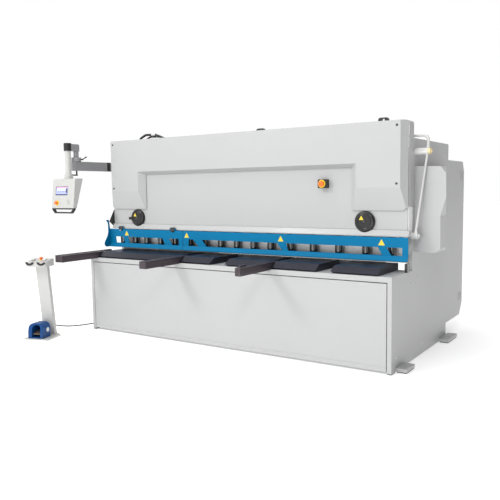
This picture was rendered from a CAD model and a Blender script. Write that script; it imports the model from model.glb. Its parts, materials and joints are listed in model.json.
import json
import math

import bpy
import bmesh
from mathutils import Matrix, Vector


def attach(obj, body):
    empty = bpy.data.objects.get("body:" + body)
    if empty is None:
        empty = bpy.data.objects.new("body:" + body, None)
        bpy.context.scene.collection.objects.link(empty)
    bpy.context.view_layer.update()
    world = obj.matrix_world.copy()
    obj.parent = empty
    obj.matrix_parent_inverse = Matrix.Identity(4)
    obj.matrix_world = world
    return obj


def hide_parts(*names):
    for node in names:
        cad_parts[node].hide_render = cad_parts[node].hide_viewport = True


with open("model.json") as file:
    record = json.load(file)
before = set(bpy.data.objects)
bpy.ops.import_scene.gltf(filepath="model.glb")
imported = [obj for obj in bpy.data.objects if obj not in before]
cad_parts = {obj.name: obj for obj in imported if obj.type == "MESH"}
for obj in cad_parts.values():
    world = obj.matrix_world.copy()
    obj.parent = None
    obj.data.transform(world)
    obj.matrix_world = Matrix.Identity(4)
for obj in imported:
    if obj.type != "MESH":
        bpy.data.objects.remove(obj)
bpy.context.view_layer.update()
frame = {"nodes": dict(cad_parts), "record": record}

nodes = frame["nodes"]
scene = bpy.context.scene
F = -0.855          # Y of the lower front panel

# ---------------------------------------------------------------- camera
yaw, pitch, roll = 0.584796, 0.095940, -0.013875
d = Vector((-math.sin(yaw) * math.cos(pitch), math.cos(yaw) * math.cos(pitch), -math.sin(pitch)))
r = Vector((math.cos(yaw), math.sin(yaw), 0))
u = r.cross(d)
r2 = math.cos(roll) * r + math.sin(roll) * u
u2 = -math.sin(roll) * r + math.cos(roll) * u
cam = bpy.data.objects.new("camera", bpy.data.cameras.new("camera"))
scene.collection.objects.link(cam)
m = Matrix((r2, u2, -d)).transposed().to_4x4()
m.translation = Vector((3.657417, -5.785480, 1.579681))
cam.matrix_world = m
cam.data.sensor_width = 36
cam.data.lens = 44.762587
cam.data.clip_end = 200
scene.camera = cam


# ---------------------------------------------------------------- materials
def mat(name, col, rough=0.4, metal=0.0, var=0.03, rvar=0.06, grain=260.0, bump=0.03, coat=0.0,
        stretch=(1, 1, 1), emit=None, wear=0.0):
    m = bpy.data.materials.new(name)
    m.use_nodes = True
    t = m.node_tree
    b = t.nodes["Principled BSDF"]
    new = t.nodes.new
    link = t.links.new
    tc = new("ShaderNodeTexCoord")
    mp = new("ShaderNodeMapping")
    mp.inputs["Scale"].default_value = stretch
    link(tc.outputs["Object"], mp.inputs["Vector"])
    n1 = new("ShaderNodeTexNoise")
    n1.inputs["Scale"].default_value = 2.3
    n1.inputs["Detail"].default_value = 6
    link(mp.outputs[0], n1.inputs["Vector"])
    mix = new("ShaderNodeMix")
    mix.data_type = "RGBA"
    mix.inputs["A"].default_value = (*[max(0, c * (1 - var)) for c in col], 1)
    mix.inputs["B"].default_value = (*[min(1, c * (1 + var)) for c in col], 1)
    link(n1.outputs["Fac"], mix.inputs["Factor"])
    colour = mix.outputs["Result"]
    n2 = new("ShaderNodeTexNoise")
    n2.inputs["Scale"].default_value = grain
    n2.inputs["Detail"].default_value = 3
    link(mp.outputs[0], n2.inputs["Vector"])
    if wear > 0:
        w = new("ShaderNodeMix")
        w.data_type = "RGBA"
        w.inputs["B"].default_value = (*[min(1, c * (1 + wear)) for c in col], 1)
        n3 = new("ShaderNodeTexNoise")
        n3.inputs["Scale"].default_value = 24
        n3.inputs["Detail"].default_value = 8
        link(mp.outputs[0], n3.inputs["Vector"])
        rng = new("ShaderNodeMapRange")
        rng.inputs["From Min"].default_value = 0.55
        rng.inputs["From Max"].default_value = 0.75
        link(n3.outputs["Fac"], rng.inputs["Value"])
        link(rng.outputs["Result"], w.inputs["Factor"])
        link(colour, w.inputs["A"])
        colour = w.outputs["Result"]
    link(colour, b.inputs["Base Color"])
    rr = new("ShaderNodeMapRange")
    rr.inputs["To Min"].default_value = max(0.02, rough - rvar)
    rr.inputs["To Max"].default_value = min(1, rough + rvar)
    link(n1.outputs["Fac"], rr.inputs["Value"])
    link(rr.outputs["Result"], b.inputs["Roughness"])
    bv = new("ShaderNodeBevel")
    bv.samples = 4
    bv.inputs["Radius"].default_value = 0.0016
    bp = new("ShaderNodeBump")
    bp.inputs["Strength"].default_value = bump
    bp.inputs["Distance"].default_value = 0.0006
    link(n2.outputs["Fac"], bp.inputs["Height"])
    link(bv.outputs["Normal"], bp.inputs["Normal"])
    link(bp.outputs["Normal"], b.inputs["Normal"])
    b.inputs["Metallic"].default_value = metal
    b.inputs["Coat Weight"].default_value = coat
    b.inputs["Coat Roughness"].default_value = 0.12
    if emit:
        b.inputs["Emission Color"].default_value = (*emit, 1)
        b.inputs["Emission Strength"].default_value = 0.6
    return m


M = {
    "machine_paint": mat("machine_paint", (0.435, 0.438, 0.438), 0.42, coat=0.12, var=0.012, bump=0.12),
    "guard_blue": mat("guard_blue", (0.0, 0.165, 0.345), 0.5, coat=0.0, bump=0.15),
    "hood_blue": mat("hood_blue", (0.004, 0.055, 0.20), 0.45, coat=0.1, bump=0.35, grain=160),
    "dark_steel": mat("dark_steel", (0.062, 0.048, 0.056), 0.42, 0.35, var=0.2, rvar=0.12, stretch=(1, 0.05, 1), wear=0.5),
    "slab_steel": mat("slab_steel", (0.022, 0.023, 0.036), 0.36, 0.3, var=0.25, rvar=0.12, stretch=(0.05, 1, 1), wear=0.5),
    "blade_steel": mat("blade_steel", (0.45, 0.46, 0.48), 0.25, 1.0, var=0.08, stretch=(0.03, 1, 1)),
    "black_metal": mat("black_metal", (0.012, 0.011, 0.012), 0.24, 0.0, coat=0.6, var=0.2),
    "chrome_rod": mat("chrome_rod", (0.70, 0.71, 0.73), 0.14, 1.0, var=0.03),
    "stop_red": mat("stop_red", (0.86, 0.16, 0.012), 0.32, coat=0.3),
    "stop_yellow": mat("stop_yellow", (0.86, 0.62, 0.03), 0.38, coat=0.2),
    "black_plastic": mat("black_plastic", (0.012, 0.012, 0.013), 0.38, var=0.15, bump=0.2),
    "brass": mat("brass", (0.74, 0.62, 0.36), 0.38, 0.4, var=0.06),
    "rubber": mat("rubber", (0.02, 0.02, 0.021), 0.62, var=0.15, bump=0.2),
    "pipe_steel": mat("pipe_steel", (0.66, 0.66, 0.65), 0.36, 0.25, var=0.05),
    "pedal_metal": mat("pedal_metal", (0.15, 0.12, 0.09), 0.6, 0.3, var=0.2, wear=0.6),
}
for slot, level in (("guard_blue", 0.12), ("hood_blue", 0.2), ("slab_steel", 0.3)):
    for node in M[slot].node_tree.nodes:
        if node.type == "BSDF_PRINCIPLED":
            node.inputs["Specular IOR Level"].default_value = level
gloss_black = mat("gloss_black", (0.006, 0.006, 0.007), 0.12, coat=0.8, var=0.2, bump=0.0)
screen_m = mat("screen_lit", (0.42, 0.45, 0.80), 0.25, var=0.12, bump=0.0, emit=(0.42, 0.45, 0.80))
pink_m = mat("screen_band", (0.72, 0.30, 0.50), 0.25, var=0.1, bump=0.0, emit=(0.5, 0.2, 0.35))
dark_m = mat("screen_dark", (0.05, 0.05, 0.09), 0.3, var=0.1, bump=0.0)
key_m = mat("screen_keys", (0.16, 0.20, 0.50), 0.3, var=0.1, bump=0.0)
arm_grey = mat("arm_grey", (0.30, 0.30, 0.31), 0.4, 0.3, var=0.04)
pendant_m = mat("pendant_paint", (0.50, 0.50, 0.485), 0.42, coat=0.1, var=0.012, bump=0.12)
inner_paint = mat("inner_paint", (0.88, 0.88, 0.88), 0.45, var=0.012, bump=0.1)
panel_line = mat("joint_shadow", (0.05, 0.05, 0.055), 0.8, var=0.1)
glass_m = mat("cover_cast", (0.004, 0.004, 0.004), 0.30, coat=0.15, var=0.3, bump=0.25, grain=90)

for sp in frame["record"]["subparts"]:
    o = nodes.get(sp["node"])
    if o is not None:
        o.data.materials.clear()
        o.data.materials.append(M[sp["material_slot"]])
nodes["hold_down_beam"].data.materials[0] = inner_paint
nodes["pendant_selector"].data.materials[0] = M["pipe_steel"]
nodes["e_stop_box"].data.materials[0] = M["black_plastic"]
nodes["round_covers"].data.materials[0] = glass_m
nodes["hold_down_cylinders"].data.materials[0] = gloss_black
nodes["hold_down_plungers"].data.materials[0] = gloss_black
for k in ("pendant_elbow", "pendant_arm",):
    nodes[k].data.materials[0] = arm_grey
for k in ("pendant_box", "drop_tube", "pedestal_stand", "pedestal_head"):
    nodes[k].data.materials[0] = pendant_m


# ---------------------------------------------------------------- small pieces
def finish_piece(o, body, material, bevel=0.0):
    o.data.materials.clear()
    o.data.materials.append(material)
    if bevel > 0:
        b = o.modifiers.new("bevel", "BEVEL")
        b.width = bevel
        b.segments = 3
        b.limit_method = "ANGLE"
    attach(o, body)
    return o


def mesh_piece(name, bm, matrix, body, material, bevel=0.0, smooth=False):
    me = bpy.data.meshes.new(name)
    bmesh.ops.recalc_face_normals(bm, faces=bm.faces)
    for f in bm.faces:
        f.smooth = smooth
    bm.to_mesh(me)
    bm.free()
    if smooth:
        me.set_sharp_from_angle(angle=math.radians(35))
    o = bpy.data.objects.new(name, me)
    scene.collection.objects.link(o)
    o.matrix_world = matrix
    return finish_piece(o, body, material, bevel)


def box(name, lo, hi, body, material, bevel=0.001, matrix=None):
    bm = bmesh.new()
    bmesh.ops.create_cube(bm, size=1)
    size = [hi[i] - lo[i] for i in range(3)]
    mid = [(hi[i] + lo[i]) / 2 for i in range(3)]
    bmesh.ops.scale(bm, vec=size, verts=bm.verts)
    bmesh.ops.translate(bm, vec=mid, verts=bm.verts)
    return mesh_piece(name, bm, matrix or Matrix.Identity(4), body, material, bevel)


def axes(origin, x, z):
    z = Vector(z).normalized()
    x = Vector(x).normalized()
    y = z.cross(x)
    m = Matrix((x, y, z)).transposed().to_4x4()
    m.translation = Vector(origin)
    return m


def turned(name, profile, matrix, body, material, steps=48, bevel=0.0):
    """Profile of (radius, height) turned about the local Z axis."""
    bm = bmesh.new()
    rings = []
    for rad, h in profile:
        if rad < 1e-6:
            rings.append([bm.verts.new((0, 0, h))])
        else:
            rings.append([bm.verts.new((rad * math.cos(2 * math.pi * i / steps),
                                        rad * math.sin(2 * math.pi * i / steps), h)) for i in range(steps)])
    for a, b in zip(rings, rings[1:]):
        for i in range(steps):
            j = (i + 1) % steps
            if len(a) == 1 and len(b) == 1:
                continue
            if len(a) == 1:
                bm.faces.new((a[0], b[i], b[j]))
            elif len(b) == 1:
                bm.faces.new((a[i], a[j], b[0]))
            else:
                bm.faces.new((a[i], a[j], b[j], b[i]))
    return mesh_piece(name, bm, matrix, body, material, bevel, smooth=True)


def prism(name, pts, t, matrix, body, material, bevel=0.0):
    """Flat outline of (x, y) in the local plane, t thick along local Z."""
    bm = bmesh.new()
    lo = [bm.verts.new((x, y, 0)) for x, y in pts]
    hi = [bm.verts.new((x, y, t)) for x, y in pts]
    bm.faces.new(lo)
    bm.faces.new(hi)
    n = len(pts)
    for i in range(n):
        bm.faces.new((lo[i], lo[(i + 1) % n], hi[(i + 1) % n], hi[i]))
    return mesh_piece(name, bm, matrix, body, material, bevel)


def dome(name, origin, z, body, material, rad=0.009, h=0.005):
    x = Vector(z).orthogonal()
    prof = [(rad, 0)] + [(rad * math.cos(a), h * 0.25 + h * 0.75 * math.sin(a)) for a in
                         [0, 0.3, 0.6, 0.9, 1.2]] + [(0, h)]
    return turned(name, prof, axes(origin, x, z), body, material, 24)


front = (0, -1, 0)
# screws at the corners of the top cover
for i, (x, z) in enumerate(((-1.722, 2.125), (1.722, 2.125), (-1.722, 1.62), (1.722, 1.62))):
    dome(f"cover_screw_{i}", (x, F + 0.318, z), front, "frame", M["black_metal"], 0.011, 0.006)
# screws along the recessed panel and the ledge
for i, x in enumerate((-1.2, -0.6, 0.0, 0.6, 1.2)):
    dome(f"panel_screw_{i}", (x, F + 0.388, 1.235), front, "frame", M["machine_paint"], 0.007, 0.003)
# side plate screws on both frames, and their round plugs
for s, tag in ((-1, "l"), (1, "r")):
    for i, (y, z) in enumerate(((0.111, 0.128), (0.807, 0.114), (1.450, 0.171), (1.45, 1.9), (0.62, 1.9))):
        dome(f"side_screw_{tag}{i}", (s * 1.808, F + y, z), (s, 0, 0), "frame", M["pipe_steel"], 0.010, 0.005)
# plain yellow markers on the guard
for i, (x, body) in enumerate(((-1.556, "guard_leaf"), (-0.655, "frame"), (0.535, "frame"), (1.582, "frame"))):
    pts = [(-0.032, -0.026), (0.032, -0.026), (0.0, 0.030)]
    prism(f"guard_marker_{i}", pts, 0.0006, axes((x, F + 0.335, 1.098), (1, 0, 0), front), body,
          M["stop_yellow"])
# rivets along the guard
for i in range(12):
    x = -1.78 + i * 0.32
    if -0.74 < x < -0.68:
        continue
    body = "guard_leaf" if x < -0.71 else "frame"
    dome(f"guard_rivet_{i}", (x, F + 0.335, 1.117), front, body, M["guard_blue"], 0.006, 0.003)
# round covers: raised rim, centre boss and plain marker
for s, tag in ((-1, "l"), (1, "r")):
    c = (s * 1.405, F + 0.352, 1.280)
    turned(f"cover_ring_{tag}", [(0.062, 0.0), (0.062, 0.003), (0.066, 0.0045), (0.070, 0.003), (0.070, 0.0)],
           axes(c, (1, 0, 0), front), "frame", glass_m, 64)
    dome(f"cover_boss_{tag}", c, front, "frame", gloss_black, 0.014, 0.006)
    prism(f"cover_marker_{tag}", [(-0.022, -0.018), (0.022, -0.018), (0, 0.021)], 0.0006,
          axes((c[0] - 0.026, c[1], c[2] + 0.034), (1, 0, 0), front), "frame", M["stop_yellow"])
# light metal ferrules on the two pipes over the top
for i, (dx, dy, dz, r) in enumerate(((0, 0, 0, 0.0140), (0.044, 0.034, -0.022, 0.0110))):
    turned(f"pipe_ferrule_{i}", [(r, -0.03), (r + 0.0012, -0.029), (r + 0.0012, 0.029), (r, 0.03)],
           axes((-1.300 + dx, F + 0.5648 + dy, 2.2352 + dz), (0, 1, 0), (0.150, 0.006, -0.006)), "frame",
           M["pipe_steel"], 32)
# emergency stop on the panel: yellow collar
turned("panel_stop_ring", [(0.030, 0), (0.0375, 0), (0.0375, 0.0014), (0.030, 0.0014)],
       axes((0.995, F + 0.322, 1.630), (1, 0, 0), front), "frame", M["stop_yellow"], 48)
turned("panel_stop_disc", [(0.0, 0.0002), (0.034, 0.0002), (0.034, 0.0012), (0.0125, 0.0012)],
       axes((0.995, F + 0.322, 1.630), (1, 0, 0), front), "frame", M["stop_yellow"], 48)

# support arms: end caps with bolts, T-slot strips
for i, (x0, x1) in enumerate(((-1.774, -1.694), (-0.571, -0.487), (0.565, 0.622))):
    mid = (x0 + x1) / 2
    for k, z in enumerate((0.850, 0.882)):
        dome(f"arm_bolt_{i}{k}", (mid, F - 0.505, z), front, "frame", M["black_metal"], 0.007, 0.002)

# pendant: screen, keys, rings
lean = math.atan2(0.043, 0.336)
fy = F - 0.155 + 0.197 * math.tan(lean)
fn = Vector((0, -math.cos(lean), math.sin(lean)))
fu = Vector((0, math.sin(lean), math.cos(lean)))
f0 = Vector((-2.075, fy, 1.600))
FM = axes(f0, (1, 0, 0), fn)


def on_face(name, x0, x1, y0, y1, z0, z1, material):
    return box(name, (x0, y0, z0), (x1, y1, z1), "control_box", material, 0.0004, FM.copy())


on_face("screen_bezel", -0.133, 0.071, -0.049, 0.051, -0.0014, -0.0006, dark_m)
on_face("screen_glass", -0.123, 0.066, -0.040, 0.046, -0.0006, -0.0002, screen_m)
on_face("screen_band", -0.123, 0.066, 0.036, 0.046, -0.0002, 0.0, pink_m)
on_face("screen_status", -0.123, 0.066, -0.040, -0.030, -0.0002, 0.0, key_m)
for i in range(4):
    on_face(f"screen_key_{i}", -0.110 + i * 0.042, -0.076 + i * 0.042, -0.018, -0.004, -0.0002, 0.0001, key_m)
on_face("screen_side", 0.040, 0.063, -0.024, 0.030, -0.0002, 0.0001, dark_m)
turned("stop_ring", [(0.0116, 0), (0.031, 0), (0.031, 0.0012), (0.0116, 0.0012)],
       axes(f0 + Vector((-0.098, 0, 0)) + fu * -0.138, (1, 0, 0), fn), "control_box", M["stop_yellow"], 48)
turned("selector_ring", [(0.0165, 0), (0.021, 0), (0.0205, 0.002), (0.0165, 0.002)],
       axes(f0 + Vector((0.094, 0, 0)) + fu * -0.128, (1, 0, 0), fn), "control_box", M["pipe_steel"], 48)
for i, (x, y) in enumerate(((-0.168, 0.122), (0.168, 0.122), (-0.168, -0.184), (0.168, -0.184))):
    dome(f"pendant_screw_{i}", f0 + Vector((x, 0, 0)) + fu * y, fn, "control_box", M["pipe_steel"], 0.0045, 0.002)
# black band at the root of the arm, just proud of it
bm = bmesh.new()
x0, x1, z0, z1, g = -2.1106, -2.0394, 1.8324, 1.9406, 0.0006
for y in (F + 0.526, F + 0.574):
    for x, z in ((x0, z0), (x1, z0), (x1, z1), (x0, z1)):
        bm.verts.new((x, y, z))
    for x, z in ((x0 + 0.004, z0 + 0.004), (x1 - 0.004, z0 + 0.004), (x1 - 0.004, z1 - 0.004), (x0 + 0.004, z1 - 0.004)):
        bm.verts.new((x, y, z))
bm.verts.ensure_lookup_table()
v = bm.verts
for i in range(4):
    j = (i + 1) % 4
    bm.faces.new((v[i], v[j], v[8 + j], v[8 + i]))
    bm.faces.new((v[4 + i], v[4 + j], v[12 + j], v[12 + i]))
    bm.faces.new((v[i], v[j], v[4 + j], v[4 + i]))
    bm.faces.new((v[8 + i], v[8 + j], v[12 + j], v[12 + i]))
mesh_piece("arm_band", bm, Matrix.Identity(4), "arm", M["black_plastic"])
# clamp lever knob
turned("lever_knob", [(0.0, -0.012), (0.007, -0.010), (0.0095, 0), (0.007, 0.010), (0, 0.012)],
       axes((-2.010, F + 0.164, 1.990), (1, 0, 0), (0, 0.89, 0.45)), "collar_lever", M["black_plastic"], 24)

# foot control stand
a = 0.32
pu, pv = Vector((math.cos(a), math.sin(a), 0)), Vector((-math.sin(a), math.cos(a), 0))
p0 = Vector((-2.006, F - 0.455, 0))
hs = math.atan2(36, 135)
hn = pv * -math.sin(hs) + Vector((0, 0, math.cos(hs)))
h0 = p0 + pv * -0.152 + Vector((0, 0, 0.8522))
hv = hn.cross(pu)
turned("stand_stop_ring", [(0.0116, 0), (0.024, 0), (0.024, 0.0014), (0.0116, 0.0014)],
       axes(h0 + pu * 0.013 + hv * 0.026, pu, hn), "frame", M["stop_yellow"], 40)
for i, du in enumerate((-0.058, 0.058)):
    dome(f"stand_bolt_{i}", p0 + pu * (du * 2.1) + pv * -0.02 + Vector((0, 0, 0.012)), (0, 0, 1), "frame",
         M["pipe_steel"], 0.011, 0.006)
side = axes(p0 + pu * 0.071 + pv * -0.160 + Vector((0, 0, 0.095)), pv, pu)
turned("hood_disc", [(0.0, 0.008), (0.020, 0.008), (0.024, 0.005), (0.024, 0.0)], side, "frame", M["pipe_steel"], 32)
for i, (dv, dz) in enumerate(((-0.225, 0.03), (-0.115, 0.03))):
    dome(f"hood_screw_{i}", p0 + pu * 0.071 + pv * dv + Vector((0, 0, dz)), pu, "frame", M["black_metal"], 0.006, 0.003)
for i in range(7):
    zc = 0.0
    q = p0 + pu * (-0.055 + i * 0.0165) + pv * -0.19 + Vector((0, 0, 0.0723))
    slope = axes(q, pu, (pv * -0.2169 + Vector((0, 0, 0.9762))))
    box(f"pedal_rib_{i}", (-0.002, -0.045, -0.001), (0.002, 0.045, 0.0015), "pedal", M["pedal_metal"], 0.0003, slope)

# cable between the stand and the machine
route = [(-2.014, -1.285, 0.048), (-2.030, -1.239, 0.042), (-2.075, -1.191, 0.022), (-2.150, -1.161, 0.007),
         (-2.250, -1.151, 0.0065), (-2.335, -1.105, 0.0065), (-2.374, -1.023, 0.0065), (-2.316, -0.963, 0.0065),
         (-2.206, -0.958, 0.0065), (-2.108, -0.899, 0.0065), (-2.048, -0.791, 0.0065), (-2.010, -0.659, 0.0065),
         (-1.962, -0.559, 0.007), (-1.918, -0.499, 0.026), (-1.872, -0.459, 0.056), (-1.838, -0.437, 0.062)]
cu = bpy.data.curves.new("stand_cable", "CURVE")
cu.dimensions = "3D"
sp = cu.splines.new("NURBS")
sp.points.add(len(route) - 1)
for p, q in zip(sp.points, route):
    p.co = (*q, 1)
sp.order_u = 3
sp.use_endpoint_u = True
cu.bevel_depth = 0.006
cu.bevel_resolution = 6
cu.resolution_u = 24
cu.materials.append(M["rubber"])
cable = bpy.data.objects.new("stand_cable", cu)
scene.collection.objects.link(cable)
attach(cable, "frame")
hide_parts("pedestal_cable")

# ---------------------------------------------------------------- floor, world and light
bm = bmesh.new()
bmesh.ops.create_grid(bm, x_segments=1, y_segments=1, size=60)
me = bpy.data.meshes.new("floor")
bm.to_mesh(me)
bm.free()
floor = bpy.data.objects.new("floor", me)
scene.collection.objects.link(floor)
fm = bpy.data.materials.new("floor")
fm.use_nodes = True
fb = fm.node_tree.nodes["Principled BSDF"]
fb.inputs["Base Color"].default_value = (0.93, 0.93, 0.93, 1)
fb.inputs["Roughness"].default_value = 0.75
fb.inputs["Emission Color"].default_value = (1, 1, 1, 1)
fb.inputs["Emission Strength"].default_value = 0.34
fb.inputs["Specular IOR Level"].default_value = 0.1
floor.data.materials.append(fm)

world = bpy.data.worlds.new("studio")
world.use_nodes = True
wt = world.node_tree
bg = wt.nodes["Background"]
tc = wt.nodes.new("ShaderNodeTexCoord")
sx = wt.nodes.new("ShaderNodeSeparateXYZ")
mr = wt.nodes.new("ShaderNodeMapRange")
wt.links.new(tc.outputs["Generated"], sx.inputs[0])
wt.links.new(sx.outputs["X"], mr.inputs["Value"])
mr.inputs["From Min"].default_value = -0.15
mr.inputs["From Max"].default_value = 0.55
mr.inputs["To Min"].default_value = 1.0
mr.inputs["To Max"].default_value = 0.30
wt.links.new(mr.outputs["Result"], bg.inputs["Strength"])
bg.inputs["Color"].default_value = (1, 1, 1, 1)
scene.world = world
scene.view_settings.view_transform = "Standard"


def area(name, loc, target, size, power):
    l = bpy.data.lights.new(name, "AREA")
    l.shape = "SQUARE"
    l.size = size
    l.energy = power
    o = bpy.data.objects.new(name, l)
    scene.collection.objects.link(o)
    o.location = loc
    o.rotation_euler = (Vector(target) - Vector(loc)).to_track_quat("-Z", "Y").to_euler()


area("key", (-3.2, -6.5, 5.5), (0, 0, 1.0), 1.6, 200)
area("key_right", (3.6, -6.0, 5.2), (0, 0, 0.9), 1.3, 90)
area("top", (0.5, -1.0, 6.5), (0, 0, 1.0), 5.0, 120)
area("fill", (1.0, -7.5, 0.9), (0, 0, 1.0), 2.0, 70)
